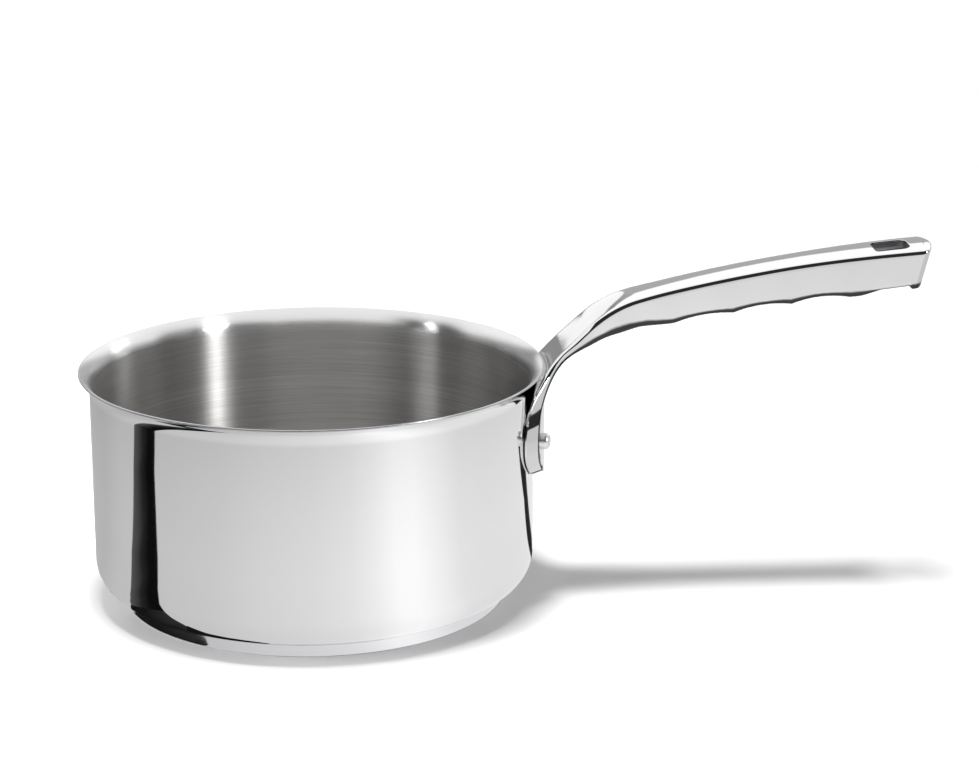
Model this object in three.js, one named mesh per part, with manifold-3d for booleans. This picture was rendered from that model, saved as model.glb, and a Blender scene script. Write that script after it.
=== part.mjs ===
// Saucepan: a drawn steel vessel with a flared pouring rim, a sandwich base and one long
// cast handle, hollow from below, that two rivets hold to the wall.
// Millimetres, +Z up. The origin is the centre of the base's resting face, the handle
// points along +X, and the vessel's axis is Z.

import * as THREE from 'three';
import { mergeVertices } from 'three/addons/utils/BufferGeometryUtils.js';
import Module from 'manifold-3d';

const wasm = await Module();
wasm.setup();

// Vessel
const vesselRadius = 80;
const vesselHeight = 86;
const sheet = 0.8;
const cornerRadius = 11.5;
const flareRadius = 7;
const flareReach = 3.6;

// Sandwich base: an aluminium disc inside a steel capsule
const baseHeight = 4.9;
const capsuleInset = 10.2;
const capsuleSheet = 0.6;
const capsuleEdgeRadius = 1.2;
const discEdge = 0.8;

// Clearances
const seatGap = 0.3;
const rivetClearance = 0.3;
const overrun = 4;

// Rivets
const rivetHeight = 62.1;
const rivetSpread = 42;
const shankRadius = 2.2;
const outerHeadRadius = 3;
const outerHeadHeight = 3.1;
const outerHeadRound = 1.6;
const innerHeadRadius = 5;
const innerHeadHeight = 1.3;
const innerHeadEdge = 0.4;

// Handle, along the middle of its top face from the pad's lower end to the tip
const padHalfWidth = 28.3;
const padBelowRivets = 15.6;
const padRise = 8.2;
const neckBendRadius = 31;
const neckLength = 12.2;
const shoulderRadius = 40.5;
const gripLength = 108.6;
const uprightAngle = THREE.MathUtils.degToRad(90);
const neckAngle = THREE.MathUtils.degToRad(44.5);
const gripAngle = THREE.MathUtils.degToRad(14.3);
const tipAngle = THREE.MathUtils.degToRad(4.3);

// Handle, across
const neckHalfWidth = 14;
const waistHalfWidth = 9.9;
const palmHalfWidth = 10;
const tipHalfWidth = 11.9;
const palmShare = 0.46;
const padEndHeight = 13.5;
const padEndHalfWidth = 6.3;
const padBevel = 4;
const neckDraft = 1;
const gripDraft = 0.8;
const gripCrown = 0.45;
const padEdgeRadius = 0.4;
const topEdgeRadius = 1.6;
const shoulderEdgeRadius = 2.6;
const lowerEdgeRadius = 1.3;

// Handle, through its thickness
const padThickness = 3.8;
const neckThickness = 3.4;
const gripDepth = 15.2;
const topWall = 2.8;
const sideWall = 2.7;
const tipWall = 3;
const cavityRamp = 14;
const cavityCornerRadius = 1.2;

// Finger grooves along the lower edge
const grooveCount = 3;
const groovePitch = 21.7;
const firstCuspAfterShoulder = 11.3;
const firstGrooveDip = 1.1;
const lastGrooveDip = 1.35;
const heelDip = 1.5;
const heelRamp = 11;
const heelDelay = 2.5;
const stopLength = 5.2;
const stopHeight = 1.3;

// Rounded tip and hang slot
const tipBow = 2.3;
const tipSlantShare = 0.33;
const tipBlend = 25;
const tipCornerRadius = 2;
const slotLength = 12.7;
const slotHalfWidth = 7.1;
const slotFromTip = 8.3;
const slotCornerRadius = 1.6;
const slotEndRadius = 3.3;

// Steps of the round stretches
const turnSteps = 64;
const arcSteps = 6;
const edgeSteps = 3;
const shankSteps = 20;
const mergeShare = 1e-5;

// Depth of the grip along the handle, as shares of gripDepth
const shoulderStartDepthShare = 0.46;
const shoulderMiddleDepthShare = 0.66;
const shoulderEndDepthShare = 0.735;
const firstCuspDepthShare = 0.84;
const lastCuspDepthShare = 1;
const tipDepthShare = 0.98;

const steel = { color: 0xd6d7d8, metalness: 1 };

function arc(cx, cy, radius, from, to, steps) {
  const points = [];
  for (let i = 0; i <= steps; i += 1) {
    const angle = from + ((to - from) * i) / steps;
    points.push(new THREE.Vector2(cx + radius * Math.cos(angle), cy + radius * Math.sin(angle)));
  }
  return points;
}

function lathe(profile, steps) {
  const geometry = new THREE.LatheGeometry(profile, steps);
  return geometry.rotateX(Math.PI / 2);
}

// A closed triangle mesh with shared corners, ready to be joined or cut
function solid(geometry) {
  const bare = geometry.clone();
  bare.deleteAttribute('normal');
  bare.deleteAttribute('uv');
  const merged = mergeVertices(bare, vesselRadius * mergeShare);
  const index = merged.index.array;
  const triangles = [];
  for (let i = 0; i < index.length; i += 3) {
    const [a, b, c] = [index[i], index[i + 1], index[i + 2]];
    if (a !== b && b !== c && c !== a) triangles.push(a, b, c);
  }
  return new wasm.Manifold(new wasm.Mesh({
    numProp: 3,
    vertProperties: new Float32Array(merged.attributes.position.array),
    triVerts: new Uint32Array(triangles),
  }));
}

function surface(manifold) {
  const mesh = manifold.getMesh();
  const geometry = new THREE.BufferGeometry();
  geometry.setAttribute('position', new THREE.BufferAttribute(mesh.vertProperties, 3));
  geometry.setIndex(new THREE.BufferAttribute(mesh.triVerts, 1));
  geometry.computeVertexNormals();
  return geometry;
}

function part(name, geometry, material) {
  const mesh = new THREE.Mesh(geometry, new THREE.MeshStandardMaterial(material));
  mesh.name = name;
  return mesh;
}

// Vessel

const flareEnd = Math.acos(1 - flareReach / flareRadius);
const flareStart = vesselHeight - (flareRadius + sheet) * Math.sin(flareEnd);

function vesselProfile() {
  const cornerX = vesselRadius - cornerRadius;
  const cornerZ = baseHeight + cornerRadius;
  const flareX = vesselRadius + flareRadius;
  const middle = flareRadius + sheet / 2;
  const lipX = flareX - middle * Math.cos(flareEnd);
  const lipZ = flareStart + middle * Math.sin(flareEnd);
  return [
    new THREE.Vector2(0, baseHeight),
    ...arc(cornerX, cornerZ, cornerRadius, -Math.PI / 2, 0, arcSteps),
    ...arc(flareX, flareStart, flareRadius, Math.PI, Math.PI - flareEnd, arcSteps),
    ...arc(lipX, lipZ, sheet / 2, -flareEnd, Math.PI - flareEnd, edgeSteps).slice(1, -1),
    ...arc(flareX, flareStart, flareRadius + sheet, Math.PI - flareEnd, Math.PI, arcSteps),
    ...arc(cornerX, cornerZ, cornerRadius - sheet, 0, -Math.PI / 2, arcSteps),
    new THREE.Vector2(0, baseHeight + sheet),
  ];
}

// Rivet places: each rivet stands square to the wall, on both sides of the handle's middle

const padFace = vesselRadius + seatGap;
const padBack = padFace + padThickness;
const rivetTurn = Math.asin(rivetSpread / 2 / padBack);

function rivetPlace(side) {
  const turn = new THREE.Matrix4().makeRotationZ(side * rivetTurn);
  const lay = new THREE.Matrix4().makeRotationY(Math.PI / 2);
  const lift = new THREE.Matrix4().makeTranslation(0, 0, rivetHeight);
  return lift.multiply(turn).multiply(lay);
}

function rivetHole(side) {
  const from = vesselRadius - sheet - overrun;
  const to = padBack + overrun;
  const hole = new THREE.CylinderGeometry(
    shankRadius + rivetClearance, shankRadius + rivetClearance, to - from, shankSteps);
  hole.rotateX(Math.PI / 2).translate(0, 0, (from + to) / 2);
  return solid(hole.applyMatrix4(rivetPlace(side)));
}

function rivetProfile() {
  const innerFace = (vesselRadius - sheet) * Math.cos(innerHeadRadius / vesselRadius) - seatGap;
  const innerTop = innerFace - innerHeadHeight;
  const outerFace = padBack + seatGap;
  const outerTop = outerFace + outerHeadHeight;
  const roundX = outerHeadRadius - outerHeadRound;
  const roundZ = outerTop - outerHeadRound;
  return [
    new THREE.Vector2(0, innerTop),
    new THREE.Vector2(innerHeadRadius - innerHeadHeight, innerTop),
    new THREE.Vector2(innerHeadRadius, innerFace - innerHeadEdge),
    new THREE.Vector2(innerHeadRadius, innerFace),
    new THREE.Vector2(shankRadius, innerFace),
    new THREE.Vector2(shankRadius, outerFace),
    new THREE.Vector2(outerHeadRadius, outerFace),
    ...arc(roundX, roundZ, outerHeadRound, 0, Math.PI / 2, edgeSteps),
    new THREE.Vector2(0, outerTop),
  ];
}

// Base: the capsule stays inside the vessel's wall and stops just short of the rounded corner

const capsuleRadius = vesselRadius - capsuleInset;

function cornerHeight(radius) {
  const run = Math.max(0, radius - (vesselRadius - cornerRadius));
  return baseHeight + cornerRadius - Math.sqrt(cornerRadius ** 2 - run ** 2);
}

function capsuleProfile() {
  const inner = capsuleRadius - capsuleSheet;
  const edge = capsuleEdgeRadius;
  const top = cornerHeight(inner) - seatGap;
  return [
    new THREE.Vector2(0, 0),
    ...arc(capsuleRadius - edge, edge, edge, -Math.PI / 2, 0, edgeSteps),
    new THREE.Vector2(capsuleRadius, top),
    new THREE.Vector2(inner, top),
    ...arc(capsuleRadius - edge, edge, edge - capsuleSheet, 0, -Math.PI / 2, edgeSteps),
    new THREE.Vector2(0, capsuleSheet),
  ];
}

function discProfile() {
  const radius = capsuleRadius - capsuleSheet - seatGap;
  return [
    new THREE.Vector2(0, capsuleSheet),
    new THREE.Vector2(radius - discEdge, capsuleSheet),
    new THREE.Vector2(radius, capsuleSheet + discEdge),
    new THREE.Vector2(radius, baseHeight),
    new THREE.Vector2(0, baseHeight),
  ];
}

// Handle spine: straight up the pad, out over the rim, then along the grip

const padBottom = rivetHeight - padBelowRivets;
const runs = [
  { length: padBelowRivets + padRise, turn: 0 },
  { length: neckBendRadius * (uprightAngle - neckAngle), turn: uprightAngle - neckAngle },
  { length: neckLength, turn: 0 },
  { length: shoulderRadius * (neckAngle - gripAngle), turn: neckAngle - gripAngle },
  { length: gripLength, turn: gripAngle - tipAngle },
];
const starts = runs.reduce((list, run) => [...list, list.at(-1) + run.length], [0]);
const [, padTopAt, neckAt, shoulderAt, gripAt, tipAt] = starts;
const rivetAt = padBelowRivets;

function spine(at) {
  let x = padFace;
  let z = padBottom;
  let slope = uprightAngle;
  let left = at;
  for (const run of runs) {
    const step = run === runs.at(-1) ? left : Math.min(left, run.length);
    if (run.turn === 0) {
      x += step * Math.cos(slope);
      z += step * Math.sin(slope);
    } else {
      const bend = run.turn / run.length;
      const next = slope - bend * step;
      x += (Math.sin(slope) - Math.sin(next)) / bend;
      z += (Math.cos(next) - Math.cos(slope)) / bend;
      slope = next;
    }
    left -= step;
    if (left <= 0) break;
  }
  return { x, z, slope };
}

function ease(share) {
  const t = THREE.MathUtils.clamp(share, 0, 1);
  return t * t * (3 - 2 * t);
}

// Value along the handle that eases from one station to the next
function eased(stations, at) {
  if (at <= stations[0][0]) return stations[0][1];
  for (let i = 1; i < stations.length; i += 1) {
    const [from, a] = stations[i - 1];
    const [to, b] = stations[i];
    if (at <= to) return a + (b - a) * ease((at - from) / (to - from));
  }
  return stations.at(-1)[1];
}

// Value along the handle on one smooth curve through all its stations
function smooth(stations, at) {
  const last = stations.length - 1;
  const i = Math.max(1, stations.findIndex(([to], n) => n > 0 && (at <= to || n === last)));
  const [x0, y0] = stations[i - 1];
  const [x1, y1] = stations[i];
  const slopeAt = (n) => {
    const [xa, ya] = stations[Math.max(0, n - 1)];
    const [xb, yb] = stations[Math.min(last, n + 1)];
    return n === 0 ? 0 : (yb - ya) / (xb - xa);
  };
  const run = x1 - x0;
  const t = THREE.MathUtils.clamp((at - x0) / run, 0, 1);
  const keep = 1 - t;
  return y0 * keep * keep * (1 + 2 * t) + y1 * t * t * (3 - 2 * t)
    + run * t * keep * (slopeAt(i - 1) * keep - slopeAt(i) * t);
}

const palmAt = gripAt + palmShare * gripLength;
const firstCuspAt = gripAt + firstCuspAfterShoulder;
const lastCuspAt = firstCuspAt + grooveCount * groovePitch;
const shoulderMiddleAt = (shoulderAt + gripAt) / 2;
const cavityFrom = shoulderMiddleAt;
const cavityTo = tipAt - tipWall;

const widths = [
  [rivetAt, padHalfWidth], [neckAt, neckHalfWidth], [firstCuspAt, waistHalfWidth],
  [palmAt, palmHalfWidth], [tipAt, tipHalfWidth],
];
const drafts = [[rivetAt, padBevel], [neckAt, neckDraft], [gripAt, gripDraft]];
const topEdges = [[padTopAt, padEdgeRadius], [neckAt, topEdgeRadius]];
const lowerEdges = [
  [padTopAt, padEdgeRadius], [shoulderMiddleAt, shoulderEdgeRadius], [firstCuspAt, lowerEdgeRadius],
];
const depths = [
  [padTopAt, padThickness],
  [neckAt, neckThickness],
  [shoulderAt, gripDepth * shoulderStartDepthShare],
  [shoulderMiddleAt, gripDepth * shoulderMiddleDepthShare],
  [gripAt, gripDepth * shoulderEndDepthShare],
  [firstCuspAt, gripDepth * firstCuspDepthShare],
  [lastCuspAt, gripDepth * lastCuspDepthShare],
  [tipAt, gripDepth * tipDepthShare],
];

// Width that a round corner takes from an end: share is 0 where the corner starts, 1 at the end
function cornerLoss(most, share) {
  const t = THREE.MathUtils.clamp(share, 0, 1);
  return most * (1 - Math.sqrt(1 - t * t));
}

function halfWidth(at) {
  return eased(widths, at)
    - cornerLoss(padHalfWidth - padEndHalfWidth, 1 - at / padEndHeight)
    - cornerLoss(tipCornerRadius, 1 - (tipAt - at) / tipCornerRadius);
}

function draft(at) {
  return Math.min(eased(drafts, at), halfWidth(at) / 2);
}

// How far the finger grooves lift the lower edge
function grooveDip(at) {
  if (at < firstCuspAt) return 0;
  if (at < lastCuspAt) {
    const place = (at - firstCuspAt) / groovePitch;
    const groove = Math.floor(place);
    const t = place - groove;
    const growth = (lastGrooveDip - firstGrooveDip) / Math.max(1, grooveCount - 1);
    return (firstGrooveDip + growth * groove) * 4 * t * (1 - t);
  }
  const heel = heelDip * ease((at - lastCuspAt - heelDelay) / heelRamp);
  const stop = stopHeight * ease((at - tipAt + stopLength) / (stopLength / 2));
  return heel - stop;
}

function depth(at) {
  return smooth(depths, at) - grooveDip(at);
}

// Distance that a curved face leaves its flat middle, at a half-width v
function bulge(curvature, v) {
  if (Math.abs(curvature) * vesselRadius < mergeShare) return 0;
  return (1 - Math.sqrt(1 - (curvature * v) ** 2)) / curvature;
}

const topCurves = [
  [padTopAt, 1 / padFace], [neckAt, 0], [gripAt, (-2 * gripCrown) / waistHalfWidth ** 2],
];
const lowerCurves = [[padTopAt, 1 / padBack], [neckAt, 0]];

const topShares = [0, 0.35, 0.7];
const lowerShares = [0.7, 0.35, 0];
const hollowShares = [1, 0.75, 0.5, 0.25, 0];

// Right half of the handle's outline at one place, from the middle of its top face round
// to the middle of its lower face: x is across the handle, y stands up from its top face
function halfOutline(at) {
  const width = halfWidth(at);
  const lowWidth = width - draft(at);
  const deep = depth(at);
  const topCurve = eased(topCurves, at);
  const lowCurve = eased(lowerCurves, at);
  const topRound = Math.min(eased(topEdges, at), deep / 3, width / 3);
  const lowRound = Math.min(eased(lowerEdges, at), deep / 3, lowWidth / 2);
  const topY = bulge(topCurve, width - topRound);
  const lowY = bulge(lowCurve, lowWidth - lowRound) - deep;
  return [
    ...topShares.map((share) => {
      const v = share * (width - topRound);
      return new THREE.Vector2(v, bulge(topCurve, v));
    }),
    ...arc(width - topRound, topY - topRound, topRound, Math.PI / 2, 0, edgeSteps),
    ...arc(lowWidth - lowRound, lowY + lowRound, lowRound, 0, -Math.PI / 2, edgeSteps),
    ...lowerShares.map((share) => {
      const v = share * (lowWidth - lowRound);
      return new THREE.Vector2(v, bulge(lowCurve, v) - deep);
    }),
  ];
}

// Right half of the hollow's outline: it opens downwards past the lower edge
function halfHollow(at) {
  const width = halfWidth(Math.min(at, tipAt - tipCornerRadius)) - sideWall;
  const ramp = ease((at - cavityFrom) / cavityRamp);
  const ceiling = -topWall - (1 - ramp) * (depth(at) + overrun - topWall);
  const floor = -gripDepth - overrun;
  const round = cavityCornerRadius;
  return [
    new THREE.Vector2(0, ceiling),
    ...arc(width - round, ceiling - round, round, Math.PI / 2, 0, edgeSteps),
    ...hollowShares.map((share) => new THREE.Vector2(share * (width - draft(at)), floor)),
  ];
}

// The tip bows outwards in plan and leans back towards its lower edge
function tipShift(at, v, n) {
  const blend = ease((at - tipAt + tipBlend) / tipBlend);
  return blend * (tipSlantShare * n - tipBow * (v / tipHalfWidth) ** 2);
}

function placed(at, point) {
  const { x, z, slope } = spine(at);
  const along = tipShift(at, point.x, point.y);
  return new THREE.Vector3(
    x + along * Math.cos(slope) - point.y * Math.sin(slope),
    -point.x,
    z + along * Math.sin(slope) + point.y * Math.cos(slope));
}

function ring(at, half) {
  const points = half(at);
  const mirrored = points.slice(1, -1).reverse().map((p) => new THREE.Vector2(-p.x, p.y));
  return [...points, ...mirrored].map((point) => placed(at, point));
}

// Skin through the outlines at all stations. Each end is closed by rungs between its upper and
// its lower points, from the right edge to the left, so an end can be curved like the wall.
function loft(stations, half) {
  const rings = stations.map((at) => ring(at, half));
  const count = rings[0].length;
  const last = (rings.length - 1) * count;
  const index = [];
  for (let first = 0; first < last; first += count) {
    for (let i = 0; i < count; i += 1) {
      const a = first + i;
      const b = first + ((i + 1) % count);
      index.push(a, b, a + count, b, b + count, a + count);
    }
  }
  const edge = (count + 2) / 4;
  for (let i = 0; i < count / 2 - 1; i += 1) {
    const upper = (edge - 1 - i + count) % count;
    const upperNext = (upper - 1 + count) % count;
    const lower = edge + i;
    index.push(upper, upperNext, lower + 1, upper, lower + 1, lower);
    index.push(last + upper, last + lower, last + lower + 1);
    index.push(last + upper, last + lower + 1, last + upperNext);
  }
  const geometry = new THREE.BufferGeometry().setFromPoints(rings.flat());
  geometry.setIndex(index);
  return geometry;
}

function spread(from, to, steps) {
  return Array.from({ length: steps }, (_, i) => from + ((to - from) * i) / steps);
}

const padEndSteps = 8;
const padSteps = 2;
const bendSteps = 8;
const neckSteps = 3;
const shoulderSteps = 8;
const leadSteps = 2;
const grooveSteps = 6;
const heelSteps = 9;
const stopSteps = 4;

// Stations crowd where the outline turns fastest
const padEndTurns = spread(0, Math.PI / 2, padEndSteps);
const handleStations = [
  ...padEndTurns.map((turn) => padEndHeight * (1 - Math.cos(turn))),
  padEndHeight,
  ...spread(rivetAt, padTopAt, padSteps),
  ...spread(padTopAt, neckAt, bendSteps),
  ...spread(neckAt, shoulderAt, neckSteps),
  ...spread(shoulderAt, gripAt, shoulderSteps),
  ...spread(gripAt, firstCuspAt, leadSteps),
  ...spread(firstCuspAt, lastCuspAt, grooveCount * grooveSteps),
  ...spread(lastCuspAt, tipAt - stopLength, heelSteps),
  ...spread(tipAt - stopLength, tipAt, stopSteps),
  tipAt,
];

const hollowStations = [
  ...handleStations.filter((at) => at > cavityFrom && at < cavityTo - tipWall / 2),
  cavityTo,
];

// Hang slot: nearly square towards the grip, rounder towards the tip
function slotTool() {
  const half = slotHalfWidth;
  const near = slotCornerRadius;
  const far = slotEndRadius;
  const outline = new THREE.Shape();
  outline.moveTo(near, -half);
  outline.absarc(slotLength - far, far - half, far, -Math.PI / 2, 0, false);
  outline.absarc(slotLength - far, half - far, far, 0, Math.PI / 2, false);
  outline.absarc(near, half - near, near, Math.PI / 2, Math.PI, false);
  outline.absarc(near, near - half, near, Math.PI, 1.5 * Math.PI, false);
  const height = gripDepth + 2 * overrun;
  const tool = new THREE.ExtrudeGeometry(outline, {
    depth: height, bevelEnabled: false, curveSegments: arcSteps,
  });
  const end = spine(tipAt);
  tool.translate(end.x - slotFromTip - slotLength, 0, end.z + overrun - height);
  return solid(tool);
}

function handleSolid() {
  return solid(loft(handleStations, halfOutline))
    .subtract(solid(loft(hollowStations, halfHollow)))
    .subtract(slotTool())
    .subtract(rivetHole(1))
    .subtract(rivetHole(-1));
}

function rivet(name, side) {
  const mesh = part(name, lathe(rivetProfile(), shankSteps), { ...steel, roughness: 0.25 });
  mesh.applyMatrix4(rivetPlace(side));
  return mesh;
}

const saucepan = new THREE.Group();
const vessel = solid(lathe(vesselProfile(), turnSteps))
  .subtract(rivetHole(1))
  .subtract(rivetHole(-1));
saucepan.add(part('vessel', surface(vessel), { ...steel, roughness: 0.1 }));
saucepan.add(part('heat_disc', lathe(discProfile(), turnSteps), {
  color: 0xb9bcc0, metalness: 1, roughness: 0.5,
}));
saucepan.add(part('base_capsule', lathe(capsuleProfile(), turnSteps), { ...steel, roughness: 0.22 }));
saucepan.add(part('handle', surface(handleSolid()), { ...steel, roughness: 0.08 }));
saucepan.add(rivet('rivet_near', -1));
saucepan.add(rivet('rivet_far', 1));

export default saucepan;
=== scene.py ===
import math

import bpy
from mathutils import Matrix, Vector


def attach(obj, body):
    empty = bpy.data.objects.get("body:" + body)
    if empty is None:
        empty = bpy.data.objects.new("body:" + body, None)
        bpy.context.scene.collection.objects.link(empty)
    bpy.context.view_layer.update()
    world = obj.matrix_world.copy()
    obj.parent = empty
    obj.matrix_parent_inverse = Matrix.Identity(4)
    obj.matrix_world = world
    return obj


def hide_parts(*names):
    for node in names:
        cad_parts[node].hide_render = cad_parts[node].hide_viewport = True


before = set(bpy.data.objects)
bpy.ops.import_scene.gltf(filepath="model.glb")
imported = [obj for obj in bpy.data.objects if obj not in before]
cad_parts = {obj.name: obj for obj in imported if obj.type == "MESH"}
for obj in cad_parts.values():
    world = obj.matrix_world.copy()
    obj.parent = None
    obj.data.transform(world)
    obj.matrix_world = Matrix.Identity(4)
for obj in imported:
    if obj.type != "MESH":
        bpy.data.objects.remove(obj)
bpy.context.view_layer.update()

MM = 0.001

# Sizes in millimetres, as in the frame

VESSEL_RADIUS, VESSEL_HEIGHT, SHEET = 80.0, 86.0, 0.8
CORNER_RADIUS, FLARE_RADIUS, FLARE_REACH = 11.5, 7.0, 3.6
BASE_HEIGHT, CAPSULE_INSET, CAPSULE_SHEET, CAPSULE_EDGE = 4.9, 10.2, 0.6, 1.2
SEAT_GAP = 0.3
RIVET_HEIGHT, RIVET_SPREAD, SHANK_RADIUS = 62.1, 42.0, 2.2
OUTER_HEAD_RADIUS, OUTER_HEAD_HEIGHT, OUTER_HEAD_ROUND = 3.0, 3.1, 1.6
INNER_HEAD_RADIUS, INNER_HEAD_HEIGHT = 5.0, 1.3
PAD_HALF_WIDTH, PAD_BELOW_RIVETS, PAD_RISE = 28.3, 15.6, 8.2
PAD_END_HEIGHT, PAD_END_HALF_WIDTH = 13.5, 6.3
NECK_BEND_RADIUS, NECK_LENGTH, SHOULDER_RADIUS, GRIP_LENGTH = 31.0, 12.2, 40.5, 108.6
UPRIGHT, NECK_ANGLE, GRIP_ANGLE, TIP_ANGLE = (math.radians(a) for a in (90, 44.5, 14.3, 4.3))
NECK_HALF_WIDTH, WAIST_HALF_WIDTH, PALM_HALF_WIDTH, TIP_HALF_WIDTH = 14.0, 9.9, 10.0, 11.9
PALM_SHARE, PAD_BEVEL, NECK_DRAFT, GRIP_DRAFT = 0.46, 4.0, 1.0, 0.8
GRIP_CROWN, PAD_EDGE_RADIUS, TOP_EDGE_RADIUS = 0.45, 0.4, 1.6
SHOULDER_EDGE_RADIUS, LOWER_EDGE_RADIUS = 2.6, 1.3
PAD_THICKNESS, NECK_THICKNESS, GRIP_DEPTH = 3.8, 3.4, 15.2
TOP_WALL, SIDE_WALL, TIP_WALL, CAVITY_RAMP, CAVITY_CORNER = 2.8, 2.7, 3.0, 14.0, 1.2
GROOVE_COUNT, GROOVE_PITCH, FIRST_CUSP = 3, 21.7, 11.3
FIRST_DIP, LAST_DIP, HEEL_DIP, HEEL_RAMP, HEEL_DELAY = 1.1, 1.35, 1.5, 11.0, 2.5
STOP_LENGTH, STOP_HEIGHT = 5.2, 1.3
TIP_BOW, TIP_SLANT, TIP_BLEND, TIP_CORNER = 2.3, 0.33, 25.0, 2.0
SLOT_LENGTH, SLOT_HALF_WIDTH, SLOT_FROM_TIP, SLOT_CORNER, SLOT_END = 12.7, 7.1, 8.3, 1.6, 3.3

# Of the visual model alone, in millimetres: short runs that hold the shading beside an arc, the
# roundings of small edges, and the heights between which the inside's brushing becomes the flare's
# finish

HOLD, SMALL_ROUND = 0.6, 0.2
TIP_ROUND, RIM_ROUND, SLOT_ROUND = 0.9, 0.35, 0.2
UPPER_FROM, UPPER_TO = 77.5, 80.5
VESSEL_STEPS, CAPSULE_STEPS, RIVET_STEPS = 320, 256, 48


# Meshes

def arc(cx, cy, radius, start, end, steps):
    return [(cx + radius * math.cos(start + (end - start) * i / steps),
             cy + radius * math.sin(start + (end - start) * i / steps)) for i in range(steps + 1)]


def make(name, verts, faces, materials, sharp, kinds=None):
    mesh = bpy.data.meshes.new(name)
    mesh.from_pydata([tuple(c * MM for c in v) for v in verts], [], faces)
    mesh.validate()
    mesh.shade_smooth()
    mesh.set_sharp_from_angle(angle=math.radians(sharp))
    piece = bpy.data.objects.new(name, mesh)
    bpy.context.scene.collection.objects.link(piece)
    for material in materials:
        mesh.materials.append(material)
    if kinds:
        for polygon, kind in zip(mesh.polygons, kinds):
            polygon.material_index = kind
    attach(piece, "root")
    return piece


def turned(profile, kinds, steps):
    """Verts, faces and material numbers of a profile turned about Z; radius zero is a pole."""
    verts, rows, faces, marks = [], [], [], []
    for radius, height in profile:
        if radius < 1e-6:
            rows.append([len(verts)] * steps)
            verts.append((0.0, 0.0, height))
            continue
        rows.append(list(range(len(verts), len(verts) + steps)))
        verts += [(radius * math.cos(2 * math.pi * k / steps),
                   radius * math.sin(2 * math.pi * k / steps), height) for k in range(steps)]
    for i, (low, high) in enumerate(zip(rows, rows[1:])):
        for k in range(steps):
            n = (k + 1) % steps
            corners = []
            for c in (low[k], low[n], high[n], high[k]):
                if c not in corners:
                    corners.append(c)
            faces.append(tuple(corners))
            marks.append(kinds[i])
    return verts, faces, marks


def stretch(points, kind, profile, kinds):
    """Adds points to a profile; the faces that lead to them are of this kind."""
    for point in points:
        if profile:
            if math.dist(profile[-1], point) < 1e-6:
                continue
            kinds.append(kind)
        profile.append(point)


# Materials

def nodes_of(name):
    material = bpy.data.materials.new(name)
    material.use_nodes = True
    tree = material.node_tree
    return material, tree, tree.nodes["Principled BSDF"]


def add(tree, kind, **values):
    node = tree.nodes.new(kind)
    for key, value in values.items():
        if key.startswith("in_"):
            slot = key[3:]
            node.inputs[int(slot) if slot.isdigit() else slot.replace("_", " ")].default_value = value
        else:
            setattr(node, key, value)
    return node


def ramp(tree, factor, stops):
    node = add(tree, "ShaderNodeValToRGB")
    elements = node.color_ramp.elements
    while len(elements) < len(stops):
        elements.new(0.5)
    for element, (place, value) in zip(elements, stops):
        element.position = place
        element.color = (value, value, value, 1) if isinstance(value, (int, float)) else (*value, 1)
    tree.links.new(factor, node.inputs["Fac"])
    return node.outputs["Color"]


def noise(tree, vector, scale, detail=3.0, rough=0.55):
    node = add(tree, "ShaderNodeTexNoise", in_Scale=scale, in_Detail=detail, in_Roughness=rough)
    tree.links.new(vector, node.inputs["Vector"])
    return node.outputs["Fac"]


def math_node(tree, operation, a, b=None):
    node = add(tree, "ShaderNodeMath", operation=operation)
    for i, value in enumerate((a, b)):
        if value is None:
            continue
        if isinstance(value, (int, float)):
            node.inputs[i].default_value = value
        else:
            tree.links.new(value, node.inputs[i])
    return node.outputs[0]


def round_z(tree, along, across):
    """Coordinates that change fast across turning marks and slowly along them."""
    place = add(tree, "ShaderNodeTexCoord").outputs["Object"]
    split = add(tree, "ShaderNodeSeparateXYZ")
    tree.links.new(place, split.inputs[0])
    x, y, z = split.outputs
    radius = math_node(tree, "SQRT", math_node(
        tree, "ADD", math_node(tree, "MULTIPLY", x, x), math_node(tree, "MULTIPLY", y, y)))
    join = add(tree, "ShaderNodeCombineXYZ")
    tree.links.new(math_node(tree, "MULTIPLY", x, along), join.inputs[0])
    tree.links.new(math_node(tree, "MULTIPLY", y, along), join.inputs[1])
    out = math_node(tree, "MULTIPLY", math_node(tree, "ADD", z, radius), across)
    tree.links.new(out, join.inputs[2])
    return join.outputs[0], place


def span(tree, factor, low, high):
    node = add(tree, "ShaderNodeMapRange", in_3=low, in_4=high)
    tree.links.new(factor, node.inputs[0])
    return node.outputs[0]


def tint(tree, factor, low, high):
    return ramp(tree, factor, [(0.25, low), (0.75, high)])


def bump(tree, shader, height, strength, distance):
    node = add(tree, "ShaderNodeBump", in_Strength=strength, in_Distance=distance)
    tree.links.new(height, node.inputs["Height"])
    tree.links.new(node.outputs[0], shader.inputs["Normal"])


def polished(name, color, low, high):
    """Mirror polish with faint smears."""
    material, tree, shader = nodes_of(name)
    place = add(tree, "ShaderNodeTexCoord").outputs["Object"]
    smear = noise(tree, place, 38.0, 4.0)
    shader.inputs["Metallic"].default_value = 1.0
    tree.links.new(tint(tree, smear, [c * 0.985 for c in color], color), shader.inputs["Base Color"])
    tree.links.new(span(tree, smear, low, high), shader.inputs["Roughness"])
    return material, tree, shader, place


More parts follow.
